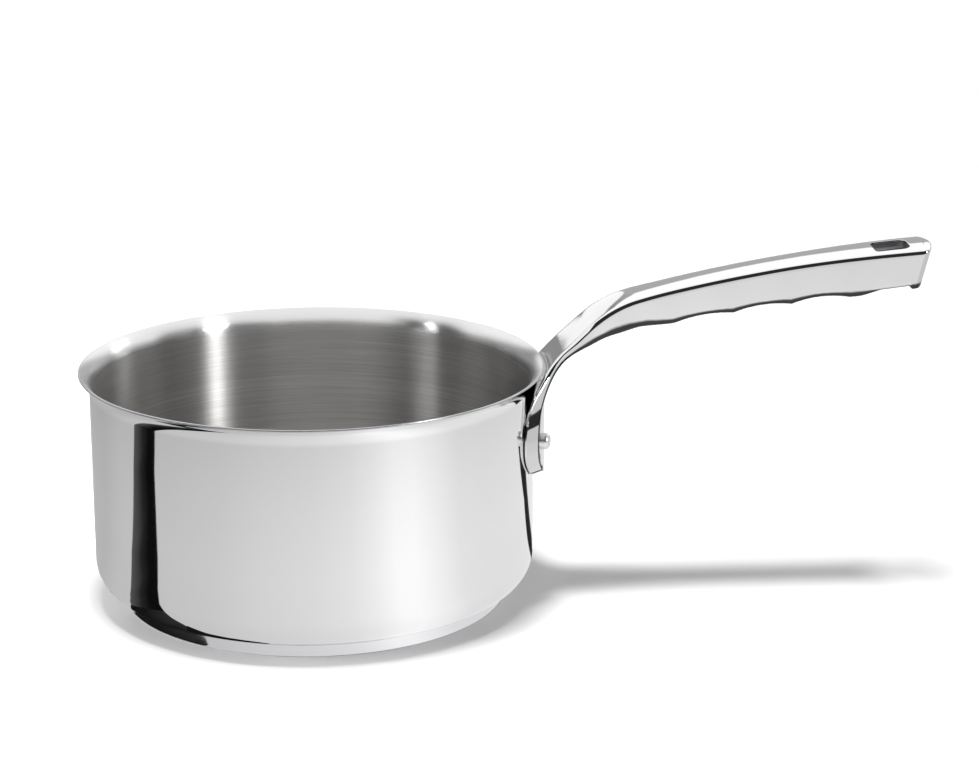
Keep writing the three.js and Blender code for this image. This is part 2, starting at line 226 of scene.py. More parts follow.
def brushed(name, color, rough, anisotropy, along, across, strength, dark=0.9, upper=None):
    """Marks that run round the axis, seen in bump, colour and gloss. rough is the lowest and the
    highest roughness. upper is a second finish, (colour, rough), that takes over higher up."""
    material, tree, shader = nodes_of(name)
    marks, place = round_z(tree, along, across)
    fine = noise(tree, marks, 1.0, 5.0, 0.7)
    broad = noise(tree, marks, 0.12, 2.0)
    both = math_node(tree, "ADD", math_node(tree, "MULTIPLY", fine, 0.75),
                     math_node(tree, "MULTIPLY", broad, 0.25))
    shader.inputs["Metallic"].default_value = 1.0
    shader.inputs["Anisotropic"].default_value = anisotropy
    shader.inputs["Anisotropic Rotation"].default_value = 0.25
    tangent = add(tree, "ShaderNodeTangent", direction_type="RADIAL", axis="Z")
    tree.links.new(tangent.outputs[0], shader.inputs["Tangent"])
    paint = tint(tree, both, [c * dark for c in color], color)
    gloss = span(tree, both, rough[1], rough[0])
    if upper:
        split = add(tree, "ShaderNodeSeparateXYZ")
        tree.links.new(place, split.inputs[0])
        share = above(tree, split.outputs[2], UPPER_FROM * MM, UPPER_TO * MM)
        paint = blend(tree, share, paint, tint(tree, both, [c * 0.96 for c in upper[0]], upper[0]))
        gloss = blend(tree, share, gloss, span(tree, both, upper[1][1], upper[1][0]))
    tree.links.new(paint, shader.inputs["Base Color"])
    tree.links.new(gloss, shader.inputs["Roughness"])
    bump(tree, shader, fine, strength, 0.00003)
    return material


def blend(tree, factor, low, high):
    node = add(tree, "ShaderNodeMix", data_type="RGBA", clamp_factor=True)
    for value, place in ((factor, 0), (low, 6), (high, 7)):
        if isinstance(value, (int, float)):
            node.inputs[place].default_value = value if place == 0 else (value, value, value, 1)
        else:
            tree.links.new(value, node.inputs[place])
    return node.outputs[2]


def above(tree, value, low, high):
    """0 below low, 1 above high."""
    node = add(tree, "ShaderNodeMapRange", in_1=low, in_2=high)
    tree.links.new(value, node.inputs[0])
    return node.outputs[0]


mirror = polished("body_mirror", (0.83, 0.83, 0.835), 0.03, 0.06)[0]
# Painted outline: the lip is painted a darker grey than the body, standing in for the dark that its round
# edge mirrors; its duller satin is that of the sheet's cut edge
lip_cut_painted_outline = brushed("lip_cut_painted_outline", (0.5, 0.5, 0.51), (0.24, 0.32), 0.5,
                  along=40.0, across=3000.0, strength=0.1)
inside = brushed("inside_brushed", (0.66, 0.65, 0.64), (0.3, 0.37), 1.0,
                 along=24.0, across=2600.0, strength=0.45, dark=0.52,
                 upper=((0.7, 0.7, 0.7), (0.22, 0.28)))
base_satin = brushed("base_satin", (0.83, 0.82, 0.845), (0.14, 0.2), 0.3,
                     along=30.0, across=3000.0, strength=0.06, dark=0.96)
turned_rings = brushed("base_turned", (0.74, 0.74, 0.75), (0.22, 0.32), 0.6,
                       along=20.0, across=2600.0, strength=0.3, dark=0.86)
cast_mirror, tree, shader, place = polished("handle_mirror", (0.71, 0.71, 0.715), 0.035, 0.07)

# Painted reflection: the band along the lower edge is painted nearly black and a little dull, in place of
# the dark that the round edge mirrors from below, and its border wavers
ratio = add(tree, "ShaderNodeAttribute", attribute_name="edge_ratio").outputs["Fac"]
painted_edge_border = math_node(tree, "ADD", ratio, math_node(tree, "MULTIPLY", noise(tree, place, 160.0, 3.0), 0.3))
painted_edge_reflection = above(tree, painted_edge_border, 1.3, 0.95)
for socket, low in (("Base Color", 0.05), ("Roughness", 0.14)):
    source = shader.inputs[socket].links[0].from_socket
    tree.links.new(blend(tree, painted_edge_reflection, source, low), shader.inputs[socket])
bump(tree, shader, noise(tree, place, 90.0, 2.0), 0.04, 0.0004)

cast_raw, tree, shader, place = polished("handle_inside", (0.3, 0.3, 0.31), 0.34, 0.5)
bump(tree, shader, noise(tree, place, 700.0, 4.0), 0.35, 0.0002)
rivet_satin, tree, shader, place = polished("rivet_satin", (0.8, 0.8, 0.8), 0.3, 0.4)
bump(tree, shader, noise(tree, place, 900.0, 3.0), 0.08, 0.0001)
aluminium = brushed("disc_aluminium", (0.72, 0.73, 0.74), (0.4, 0.5), 0.2,
                    along=20.0, across=1500.0, strength=0.2)

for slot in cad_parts["heat_disc"].material_slots:
    slot.material = aluminium

# Vessel: mirror outside, satin flare, brushed inside

flare_end = math.acos(1 - FLARE_REACH / FLARE_RADIUS)
flare_start = VESSEL_HEIGHT - (FLARE_RADIUS + SHEET) * math.sin(flare_end)
corner_x, corner_z = VESSEL_RADIUS - CORNER_RADIUS, BASE_HEIGHT + CORNER_RADIUS
flare_x = VESSEL_RADIUS + FLARE_RADIUS
lip_x = flare_x - (FLARE_RADIUS + SHEET / 2) * math.cos(flare_end)
lip_z = flare_start + (FLARE_RADIUS + SHEET / 2) * math.sin(flare_end)
inner = VESSEL_RADIUS - SHEET
inner_corner = CORNER_RADIUS - SHEET

profile, kinds = [], []
stretch([(0, BASE_HEIGHT), (corner_x - HOLD, BASE_HEIGHT)], 0, profile, kinds)
stretch(arc(corner_x, corner_z, CORNER_RADIUS, -math.pi / 2, 0, 24), 0, profile, kinds)
stretch([(VESSEL_RADIUS, corner_z + HOLD), (VESSEL_RADIUS, flare_start - HOLD)], 0, profile, kinds)
stretch(arc(flare_x, flare_start, FLARE_RADIUS, math.pi, math.pi - flare_end, 16), 0, profile, kinds)
stretch(arc(lip_x, lip_z, SHEET / 2, -flare_end, math.pi - flare_end, 10), 1, profile, kinds)
stretch(arc(flare_x, flare_start, FLARE_RADIUS + SHEET, math.pi - flare_end, math.pi, 16),
        2, profile, kinds)
stretch([(inner, flare_start - HOLD), (inner, corner_z + HOLD)], 2, profile, kinds)
stretch(arc(corner_x, corner_z, inner_corner, 0, -math.pi / 2, 16), 2, profile, kinds)
stretch([(corner_x - HOLD, BASE_HEIGHT + SHEET), (0, BASE_HEIGHT + SHEET)], 2, profile, kinds)
verts, faces, marks = turned(profile, kinds, VESSEL_STEPS)
vessel = make("vessel_shell", verts, faces, (mirror, lip_cut_painted_outline, inside), 40.0, marks)
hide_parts("vessel")

# Base capsule

capsule_radius = VESSEL_RADIUS - CAPSULE_INSET
capsule_inner = capsule_radius - CAPSULE_SHEET
run = max(0.0, capsule_inner - corner_x)
capsule_top = BASE_HEIGHT + CORNER_RADIUS - math.sqrt(CORNER_RADIUS ** 2 - run ** 2) - SEAT_GAP
edge = capsule_radius - CAPSULE_EDGE
profile, kinds = [], []
stretch([(0, 0), (edge - HOLD, 0)], 1, profile, kinds)
stretch(arc(edge, CAPSULE_EDGE, CAPSULE_EDGE, -math.pi / 2, 0, 10), 0, profile, kinds)
stretch([(capsule_radius, CAPSULE_EDGE + SMALL_ROUND), (capsule_radius, capsule_top - 2 * SMALL_ROUND)],
        0, profile, kinds)
stretch(arc(capsule_radius - SMALL_ROUND, capsule_top - SMALL_ROUND, SMALL_ROUND, 0, math.pi / 2, 4),
        0, profile, kinds)
stretch([(capsule_inner, capsule_top)], 0, profile, kinds)
stretch(arc(edge, CAPSULE_EDGE, CAPSULE_EDGE - CAPSULE_SHEET, 0, -math.pi / 2, 4), 0, profile, kinds)
stretch([(0, CAPSULE_SHEET)], 1, profile, kinds)
verts, faces, marks = turned(profile, kinds, CAPSULE_STEPS)
capsule = make("base_shell", verts, faces, (base_satin, turned_rings), 40.0, marks)
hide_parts("base_capsule")

# Rivets, square to the wall

pad_face = VESSEL_RADIUS + SEAT_GAP
pad_back = pad_face + PAD_THICKNESS
rivet_turn = math.asin(RIVET_SPREAD / 2 / pad_back)
inner_face = (VESSEL_RADIUS - SHEET) * math.cos(INNER_HEAD_RADIUS / VESSEL_RADIUS)
outer_top = pad_back + SEAT_GAP + OUTER_HEAD_HEIGHT
dome = INNER_HEAD_RADIUS ** 2 / 2 / INNER_HEAD_HEIGHT + INNER_HEAD_HEIGHT / 2
dome_turn = math.asin(INNER_HEAD_RADIUS / dome)
profile, kinds = [], []
dome_centre = inner_face - SEAT_GAP - INNER_HEAD_HEIGHT + dome
dome_arc = arc(0, dome_centre, dome, -math.pi / 2, -math.pi / 2 + dome_turn, 10)
stretch([(0, dome_centre - dome)] + dome_arc[1:], 0, profile, kinds)
stretch([(INNER_HEAD_RADIUS, inner_face), (SHANK_RADIUS, inner_face),
         (SHANK_RADIUS, pad_back - SMALL_ROUND), (OUTER_HEAD_RADIUS, pad_back - SMALL_ROUND)],
        0, profile, kinds)
round_x, round_y = OUTER_HEAD_RADIUS - OUTER_HEAD_ROUND, outer_top - OUTER_HEAD_ROUND
stretch([(OUTER_HEAD_RADIUS, round_y - HOLD)], 0, profile, kinds)
stretch(arc(round_x, round_y, OUTER_HEAD_ROUND, 0, math.pi / 2, 10), 0, profile, kinds)
stretch([(0, outer_top)], 0, profile, kinds)
verts, faces, marks = turned(profile, kinds, RIVET_STEPS)
for name, node, side in (("rivet_near_pin", "rivet_near", -1), ("rivet_far_pin", "rivet_far", 1)):
    turn = side * rivet_turn
    placed_verts = [(z * math.cos(turn) - y * math.sin(turn), z * math.sin(turn) + y * math.cos(turn),
                     RIVET_HEIGHT - x) for x, y, z in verts]
    pin = make(name, placed_verts, faces, (rivet_satin,), 30.0)
    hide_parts(node)

# Handle: spine, widths and depths, by the same laws as in the frame

pad_bottom = RIVET_HEIGHT - PAD_BELOW_RIVETS
runs = (
    (PAD_BELOW_RIVETS + PAD_RISE, 0.0),
    (NECK_BEND_RADIUS * (UPRIGHT - NECK_ANGLE), UPRIGHT - NECK_ANGLE),
    (NECK_LENGTH, 0.0),
    (SHOULDER_RADIUS * (NECK_ANGLE - GRIP_ANGLE), NECK_ANGLE - GRIP_ANGLE),
    (GRIP_LENGTH, GRIP_ANGLE - TIP_ANGLE),
)
starts = [0.0]
for length, _ in runs:
    starts.append(starts[-1] + length)
_, pad_top_at, neck_at, shoulder_at, grip_at, tip_at = starts
pad_at = PAD_BELOW_RIVETS


def spine(at):
    x, z, slope, left = pad_face, pad_bottom, UPRIGHT, at
    for i, (length, turn) in enumerate(runs):
        step = left if i == len(runs) - 1 else min(left, length)
        if turn == 0:
            x += step * math.cos(slope)
            z += step * math.sin(slope)
        else:
            bend = turn / length
            after = slope - bend * step
            x += (math.sin(slope) - math.sin(after)) / bend
            z += (math.cos(after) - math.cos(slope)) / bend
            slope = after
        left -= step
        if left <= 0:
            break
    return x, z, slope


def ease(share):
    t = min(1.0, max(0.0, share))
    return t * t * (3 - 2 * t)


def eased(stations, at):
    if at <= stations[0][0]:
        return stations[0][1]
    for (start, a), (end, b) in zip(stations, stations[1:]):
        if at <= end:
            return a + (b - a) * ease((at - start) / (end - start))
    return stations[-1][1]


def smooth(stations, at):
    last = len(stations) - 1
    i = next(n for n in range(1, last + 1) if at <= stations[n][0] or n == last)

    def slope_at(n):
        (xa, ya), (xb, yb) = stations[max(0, n - 1)], stations[min(last, n + 1)]
        return 0.0 if n == 0 else (yb - ya) / (xb - xa)

    (x0, y0), (x1, y1) = stations[i - 1], stations[i]
    t = min(1.0, max(0.0, (at - x0) / (x1 - x0)))
    keep = 1 - t
    return (y0 * keep * keep * (1 + 2 * t) + y1 * t * t * (3 - 2 * t)
            + (x1 - x0) * t * keep * (slope_at(i - 1) * keep - slope_at(i) * t))


palm_at = grip_at + PALM_SHARE * GRIP_LENGTH
first_cusp_at = grip_at + FIRST_CUSP
last_cusp_at = first_cusp_at + GROOVE_COUNT * GROOVE_PITCH
cavity_from = (shoulder_at + grip_at) / 2
cavity_to = tip_at - TIP_WALL
widths = ((pad_at, PAD_HALF_WIDTH), (neck_at, NECK_HALF_WIDTH), (first_cusp_at, WAIST_HALF_WIDTH),
          (palm_at, PALM_HALF_WIDTH), (tip_at, TIP_HALF_WIDTH))
drafts = ((pad_at, PAD_BEVEL), (neck_at, NECK_DRAFT), (grip_at, GRIP_DRAFT))
depths = ((pad_top_at, PAD_THICKNESS), (neck_at, NECK_THICKNESS), (shoulder_at, GRIP_DEPTH * 0.46),
          (cavity_from, GRIP_DEPTH * 0.66), (grip_at, GRIP_DEPTH * 0.735),
          (first_cusp_at, GRIP_DEPTH * 0.84), (last_cusp_at, GRIP_DEPTH), (tip_at, GRIP_DEPTH * 0.98))
top_curves = ((pad_top_at, 1 / pad_face), (neck_at, 0.0),
              (grip_at, -2 * GRIP_CROWN / WAIST_HALF_WIDTH ** 2))
lower_curves = ((pad_top_at, 1 / pad_back), (neck_at, 0.0))
top_edges = ((pad_top_at, PAD_EDGE_RADIUS), (neck_at, TOP_EDGE_RADIUS))
lower_edges = ((pad_top_at, PAD_EDGE_RADIUS), (cavity_from, SHOULDER_EDGE_RADIUS),
               (first_cusp_at, LOWER_EDGE_RADIUS))


def corner_loss(most, share):
    """Width that a round corner takes from an end: share is 0 where the corner starts, 1 at the end."""
    t = min(1.0, max(0.0, share))
    return most * (1 - math.sqrt(1 - t * t))


def half_width(at):
    return (eased(widths, at) - corner_loss(PAD_HALF_WIDTH - PAD_END_HALF_WIDTH, 1 - at / PAD_END_HEIGHT)
            - corner_loss(TIP_CORNER, 1 - (tip_at - at) / TIP_CORNER))


def dip(at):
    if at < first_cusp_at:
        return 0.0
    if at < last_cusp_at - 1e-9:
        place = (at - first_cusp_at) / GROOVE_PITCH
        groove = math.floor(place + 1e-9)
        t = place - groove
        growth = (LAST_DIP - FIRST_DIP) / (GROOVE_COUNT - 1)
        return (FIRST_DIP + growth * groove) * 4 * t * (1 - t)
    stop = STOP_HEIGHT * ease((at - tip_at + STOP_LENGTH) / (STOP_LENGTH / 2))
    return HEEL_DIP * ease((at - last_cusp_at - HEEL_DELAY) / HEEL_RAMP) - stop


def bulge(curvature, v):
    if abs(curvature) < 1e-7:
        return 0.0
    return (1 - math.sqrt(1 - (curvature * v) ** 2)) / curvature


def tip_shift(at, v, n):
    share = ease((at - tip_at + TIP_BLEND) / TIP_BLEND)
    return share * (TIP_SLANT * n - TIP_BOW * (v / TIP_HALF_WIDTH) ** 2)


def placed(at, v, n):
    x, z, slope = spine(at)
    along = tip_shift(at, v, n)
    return (x + along * math.cos(slope) - n * math.sin(slope), -v,
            z + along * math.sin(slope) + n * math.cos(slope))


TOP_SHARES = [i / 10 for i in range(10)]
TOP_STEPS, LOW_STEPS, SIDE_SHARES = 12, 9, (0.08, 0.5, 0.92)
RIM_SHARES, CEILING_SHARES = (0.5,), [0.9, 0.75, 0.6, 0.45, 0.3, 0.15, 0.0]


def section(at, hollow):
    """Half outline: points (v, n) from the middle of the top face round to the middle below."""
    width, deep = half_width(at), smooth(depths, at) - dip(at)
    top_curve, low_curve = eased(top_curves, at), eased(lower_curves, at)
    low_width = width - min(eased(drafts, at), width / 2)
    top_round = min(eased(top_edges, at), deep / 3, width / 3)
    low_round = min(eased(lower_edges, at), deep / 3, low_width / 2)
    late = min(1.0, max(0.0, (at - tip_at + TIP_ROUND) / TIP_ROUND))
    shrink = TIP_ROUND * (1 - math.sqrt(1 - late * late))
    points = []

    top_v = width - top_round
    for share in TOP_SHARES:
        v = share * top_v
        points.append((v, bulge(top_curve, v)))
    lean = math.asin(top_curve * top_v)
    side = -math.atan2(width - low_width, deep)
    cx, cy = top_v + top_round * math.sin(lean), bulge(top_curve, top_v) - top_round * math.cos(lean)
    cx += width - (cx + top_round)
    points += arc(cx, cy, top_round, math.pi / 2 + lean, side, TOP_STEPS)

    low_v = low_width - low_round
    cy = bulge(low_curve, low_v) - deep + low_round
    lower = arc(low_v, cy, low_round, side, -math.pi / 2, LOW_STEPS)
    a, b = points[-1], lower[0]
    points += [tuple(a[k] + (b[k] - a[k]) * s for k in (0, 1)) for s in SIDE_SHARES]
    points += lower

    narrow = min(1.0, low_v / 6)
    wall_v = half_width(min(at, tip_at - TIP_CORNER)) - SIDE_WALL * narrow
    foot_v = wall_v - (width - low_width)

    def foot_n(v):
        return bulge(low_curve, v) - deep

    rise = 0.0
    if hollow:
        rise = (deep - TOP_WALL) * ease((at - cavity_from) / CAVITY_RAMP)
    rim_round, cavity_round = RIM_ROUND * narrow, CAVITY_CORNER * narrow
    rim_v = foot_v + rim_round
    points += [(low_v + (rim_v - low_v) * s, foot_n(rim_v)) for s in RIM_SHARES]
    small = min(RIM_ROUND, rise / 3)
    points += [(rim_v - rim_round * math.sin(t), foot_n(rim_v) + small * (1 - math.cos(t)))
               for t in (0.0, math.pi / 6, math.pi / 3, math.pi / 2)]
    corner = min(CAVITY_CORNER, rise / 3)
    top_n = foot_n(foot_v) + rise
    high_v = foot_v + (wall_v - foot_v) * (rise / max(deep, 1.0))
    points.append(((foot_v + high_v) / 2, foot_n(foot_v) + max(rise / 2, 0.0)))
    points += [(high_v - cavity_round * (1 - math.cos(t)), top_n - corner * (1 - math.sin(t)))
               for t in (0.0, math.pi / 8, math.pi / 4, 3 * math.pi / 8, math.pi / 2)]
    ceiling_v = high_v - cavity_round
    for share in CEILING_SHARES:
        v = share * ceiling_v
        points.append((v, foot_n(v) + rise))
    if shrink:
        mid = -deep / 2
        points = [(v * (1 - shrink / width), mid + (n - mid) * (1 - 2 * shrink / deep))
                  for v, n in points]
    return points


def spread(start, end, step):
    count = max(1, round((end - start) / step))
    return [start + (end - start) * i / count for i in range(count)]


END_STEPS = 24
stations = ([PAD_END_HEIGHT * (1 - math.cos(math.pi / 2 * i / END_STEPS)) for i in range(END_STEPS)]
            + spread(PAD_END_HEIGHT, pad_top_at, 0.5) + spread(pad_top_at, neck_at, 0.5)
            + spread(neck_at, shoulder_at, 0.5) + spread(shoulder_at, grip_at, 0.7)
            + spread(grip_at, first_cusp_at, 1.1))
for groove in range(GROOVE_COUNT):
    stations += spread(first_cusp_at + groove * GROOVE_PITCH,
                       first_cusp_at + (groove + 1) * GROOVE_PITCH, 0.95)
stations += spread(last_cusp_at, tip_at - STOP_LENGTH, 0.8)
stations += spread(tip_at - STOP_LENGTH, cavity_to, 0.3)
hollows = [True] * len(stations)
stations += [cavity_to, cavity_to] + spread(cavity_to, tip_at - TIP_ROUND, 0.35)[1:]
stations += [tip_at - TIP_ROUND + TIP_ROUND * math.sin(i * math.pi / 16) for i in range(9)]
hollows += [True] + [False] * (len(stations) - len(hollows) - 1)

verts, faces, marks = [], [], []
rings, edge_ratios = [], []


def put(face, mark):
    faces.append(face)
    marks.append(mark)


first_low = len(TOP_SHARES) + TOP_STEPS + 1 + len(SIDE_SHARES)
last_low = first_low + LOW_STEPS

heel_at = last_cusp_at + HEEL_DELAY
# Widths along the handle of the painted dark reflection on its lower edge
bands = ((pad_top_at, 0.4), (neck_at, 1.2), (shoulder_at, 2.4), (cavity_from, 3.3), (grip_at, 2.6),
         (first_cusp_at, 2.0), (heel_at, 2.1), (heel_at + HEEL_RAMP, 0.5),
         (tip_at - STOP_LENGTH, 0.5), (tip_at - STOP_LENGTH / 2, 2.2), (tip_at, 2.2))
BAND_LOSS, CLEAR_OF_BAND = 0.45, 4.0


def band(at):
    """Width of the painted dark reflection along the lower edge, widest at the cusps."""
    in_groove = first_cusp_at < at < last_cusp_at
    return eased(bands, at) - (BAND_LOSS * dip(at) if in_groove else 0.0)


def ratios(at, half):
    """Distance of each point from the lower edge, over the width of the painted dark band."""
    foot, wide = min(n for _, n in half[first_low:last_low + 1]), band(at)
    low_v = half[last_low][0]
    return [min(CLEAR_OF_BAND, (n - foot if j <= last_low else low_v - v) / wide)
            for j, (v, n) in enumerate(half)]


def mark_of(at, j):
    """Outside 0 and hollow 1, for the strip after line j of a half outline."""
    return 1 if j > last_low and at >= cavity_from else 0


for at, hollow in zip(stations, hollows):
    half = section(at, hollow)
    loop = half + [(-v, n) for v, n in reversed(half[1:-1])]
    near_edge = ratios(at, half)
    edge_ratios += near_edge + near_edge[-2:0:-1]
    rings.append(list(range(len(verts), len(verts) + len(loop))))
    verts += [placed(at, v, n) for v, n in loop]
count, middle = len(rings[0]), len(half) - 1

# Block of the top face and of the ceiling below it that makes room for the hang slot

tip_x = spine(tip_at)[0]
slot_end = tip_x - SLOT_FROM_TIP
slot_start = slot_end - SLOT_LENGTH
slot_middle = (slot_start + slot_end) / 2
START_MARGIN, END_MARGIN = 2.2, 1.6
row_start = max(i for i, at in enumerate(stations) if spine(at)[0] < slot_start - START_MARGIN)
row_end = min(i for i, at in enumerate(stations)
              if placed(at, SLOT_HALF_WIDTH, 0)[0] > slot_end + END_MARGIN)
TOP_REACH, CEILING_REACH = 9, 8
PATCH_STEPS, ROUND_STEPS, WALL_DROP = 5, 5, 0.5


def column(ring_index, k, top):
    """Vertex of a ring, k columns from the middle: k above zero is the side where v is positive."""
    ring = rings[ring_index]
    return ring[k % count] if top else ring[(middle - k) % count]


skipped = set()
for i in range(row_start, row_end):
    for k in range(-TOP_REACH, TOP_REACH):
        skipped.add((i, k % count))
    for k in range(-CEILING_REACH, CEILING_REACH):
        skipped.add((i, (middle + k) % count))
for i in range(len(rings) - 1):
    for k in range(count):
        if (i, k) in skipped:
            continue
        n = (k + 1) % count
        mark = mark_of(stations[i], min(k, count - 1 - k))
        put((rings[i][k], rings[i][n], rings[i + 1][n], rings[i + 1][k]), mark)


def slot_radius(turn, grow):
    """Distance from the slot's middle to its outline, in the direction turn, grown by grow."""
    dx, dy = math.cos(turn), math.sin(turn)
    half_length, half_across = SLOT_LENGTH / 2 + grow, SLOT_HALF_WIDTH + grow
    low, high = 0.0, half_length + half_across
    for _ in range(40):
        reach = (low + high) / 2
        x, y = abs(reach * dx), abs(reach * dy)
        corner = (SLOT_END if dx > 0 else SLOT_CORNER) + grow
        qx, qy = x - half_length + corner, y - half_across + corner
        in_corner = qx > 0 and qy > 0
        inside_it = math.hypot(qx, qy) < corner if in_corner else x < half_length and y < half_across
        low, high = (reach, high) if inside_it else (low, reach)
    return low


def at_for(x, v, n):
    at = tip_at - (tip_x - x)
    for _ in range(12):
        at += (x - placed(at, v, n)[0]) / math.cos(spine(at)[2])
    return at


def block_outline(reach, top):
    keys = ([(row_start, k) for k in range(-reach, reach)]
            + [(i, reach) for i in range(row_start, row_end)]
            + [(row_end, k) for k in range(reach, -reach, -1)]
            + [(i, -reach) for i in range(row_end, row_start, -1)])
    return [column(i, k, top) for i, k in keys]


def surface_n(at, v, top):
    if top:
        return bulge(eased(top_curves, at), v)
    return -TOP_WALL


def patch(outline, top):
    """Rings from the block's border in to the slot; returns the slot's own outline."""
    turns = []
    for index in outline:
        x, y, _ = verts[index]
        turns.append(math.atan2(-y, x - slot_middle))
    row = outline
    for step in range(1, PATCH_STEPS + 1):
        share = step / PATCH_STEPS
        after = []
        for index, turn in zip(outline, turns):
            x0, y0, _ = verts[index]
            reach = slot_radius(turn, SLOT_ROUND)
            x = x0 + (slot_middle + reach * math.cos(turn) - x0) * share
            v = -y0 + (reach * math.sin(turn) + y0) * share
            at = at_for(x, v, 0 if top else -TOP_WALL)
            after.append(len(verts))
            verts.append(placed(at, v, surface_n(at, v, top)))
        join(row, after, top)
        row = after
    for step in range(1, ROUND_STEPS + 1):
        lift = math.pi / 2 * step / ROUND_STEPS
        after = []
        for turn in turns:
            reach = slot_radius(turn, SLOT_ROUND * (1 - math.sin(lift)))
            x, v = slot_middle + reach * math.cos(turn), reach * math.sin(turn)
            down = SLOT_ROUND * (1 - math.cos(lift))
            at = at_for(x, v, 0 if top else -TOP_WALL)
            px, py, pz = placed(at, v, surface_n(at, v, top))
            after.append(len(verts))
            verts.append((px, py, pz - down if top else pz + down))
        join(row, after, top)
        row = after
    return row, turns


def join(row, after, top):
    size = len(row)
    for k in range(size):
        n = (k + 1) % size
        face = (row[k], row[n], after[n], after[k])
        put(face if top else face[::-1], 0 if top else 1)


upper_row, upper_turns = patch(block_outline(TOP_REACH, True), True)
lower_row, lower_turns = patch(block_outline(CEILING_REACH, False), False)

# The slot's wall: each upper point goes down to the lower outline at its own direction
wall = []
for index, turn in zip(upper_row, upper_turns):
    x, y, z = verts[index]
    wall.append(len(verts))
    verts.append((x, y, z - WALL_DROP))
join(upper_row, wall, True)
upper_row = wall
size_up, size_low = len(upper_row), len(lower_row)
FULL_TURN = 2 * math.pi
forward = (upper_turns[1] - upper_turns[0]) % FULL_TURN < math.pi


def from_start(turn):
    """Turn from the wall's first line, in the direction in which the upper outline runs."""
    return ((turn - upper_turns[0]) if forward else (upper_turns[0] - turn)) % FULL_TURN


order_low = sorted(range(size_low), key=lambda k: from_start(lower_turns[k]))
lower_turn = [from_start(lower_turns[k]) for k in order_low]
upper_turn = [from_start(turn) for turn in upper_turns]
i = j = 0
while i < size_up or j < size_low:
    up, low = upper_row[i % size_up], lower_row[order_low[j % size_low]]
    up_next = upper_turn[i + 1] if i + 1 < size_up else FULL_TURN
    low_next = lower_turn[j + 1] if j + 1 < size_low else FULL_TURN + lower_turn[0]
    if i < size_up and (j >= size_low or up_next <= low_next):
        put((up, upper_row[(i + 1) % size_up], low), 1)
        i += 1
    else:
        put((up, lower_row[order_low[(j + 1) % size_low]], low), 1)
        j += 1

# Rounded tip: rings drawn in to the middle of the end face

last = section(tip_at, False)
loop = last + [(-v, n) for v, n in reversed(last[1:-1])]
mid_n = (last[0][1] + last[-1][1]) / 2
row = rings[-1]
for share in (0.85, 0.65, 0.45, 0.25):
    after = list(range(len(verts), len(verts) + count))
    verts += [placed(tip_at, v * share, mid_n + (n - mid_n) * share) for v, n in loop]
    for k in range(count):
        n = (k + 1) % count
        put((row[k], row[n], after[n], after[k]), 0)
    row = after
verts.append(placed(tip_at, 0, mid_n))
for k in range(count):
    put((row[k], row[(k + 1) % count], len(verts) - 1), 0)

# Lower end of the pad: rungs between its upper and lower lines, so that it keeps the wall's curve

first = rings[0]
across = middle - last_low
for k in range(across):
    put((first[k + 1], first[k], first[middle - k], first[middle - k - 1]), 0)
    put((first[-k], first[-k - 1], first[k + 1 - middle], first[k - middle]), 0)
put(tuple(first[j] for j in range(last_low, across - 1, -1)), 0)
put(tuple(first[-j] for j in range(across, last_low + 1)), 0)

handle = make("handle_cast", verts, faces, (cast_mirror, cast_raw), 30.0, marks)
edge_ratios += [CLEAR_OF_BAND] * (len(verts) - len(edge_ratios))
handle.data.attributes.new("edge_ratio", "FLOAT", "POINT").data.foreach_set("value", edge_ratios)
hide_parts("handle")

# Floor, backdrop and studio light


def stage(mesh, material, camera=False, glossy=True, diffuse=False, shadow=False):
    mesh.materials.append(material)
    card = bpy.data.objects.new(mesh.name, mesh)
    bpy.context.scene.collection.objects.link(card)
    card.visible_camera, card.visible_glossy, card.visible_diffuse = camera, glossy, diffuse
    card.visible_shadow, card.visible_transmission = shadow, False


def stage_card(name, corners, material, **seen):
    mesh = bpy.data.meshes.new(name)
    mesh.from_pydata(corners, [], [tuple(range(len(corners)))])
    stage(mesh, material, **seen)


def level(points, height):
    """Corners in metres of a flat outline."""
    return [(x, y, height) for x, y in points]


def glow(name, strength):
    material = bpy.data.materials.new(name)
    material.use_nodes = True
    tree = material.node_tree
    tree.nodes.remove(tree.nodes["Principled BSDF"])
    light = add(tree, "ShaderNodeEmission", in_Strength=strength)
    tree.links.new(light.outputs[0], tree.nodes["Material Output"].inputs["Surface"])
    return material, tree, light


# Floor: white, keeps its shadow
floor_paint, tree, light = glow("floor_white", 1.0)
path = add(tree, "ShaderNodeLightPath")
white = add(tree, "ShaderNodeBsdfDiffuse", in_Color=(0.8, 0.8, 0.8, 1))
lift = math_node(tree, "MULTIPLY", path.outputs["Is Camera Ray"], 0.05)
tree.links.new(lift, light.inputs["Strength"])
both = add(tree, "ShaderNodeAddShader")
tree.links.new(white.outputs[0], both.inputs[0])
tree.links.new(light.outputs[0], both.inputs[1])
paper = add(tree, "ShaderNodeEmission")
reach = add(tree, "ShaderNodeVectorMath", operation="LENGTH")
tree.links.new(add(tree, "ShaderNodeTexCoord").outputs["Object"], reach.inputs[0])
far_off = add(tree, "ShaderNodeMapRange", in_1=0.4, in_2=0.8)
tree.links.new(reach.outputs["Value"], far_off.inputs[0])
paper_share = math_node(tree, "MULTIPLY", far_off.outputs[0], path.outputs["Is Camera Ray"])
whole = add(tree, "ShaderNodeMixShader")
tree.links.new(paper_share, whole.inputs[0])
tree.links.new(both.outputs[0], whole.inputs[1])
tree.links.new(paper.outputs[0], whole.inputs[2])
tree.links.new(whole.outputs[0], tree.nodes["Material Output"].inputs["Surface"])
FAR = 6.0
ground = [(-FAR, -FAR), (FAR, -FAR), (FAR, FAR), (-FAR, FAR)]
stage_card("floor", level(ground, 0), floor_paint, camera=True, glossy=False, diffuse=True, shadow=True)

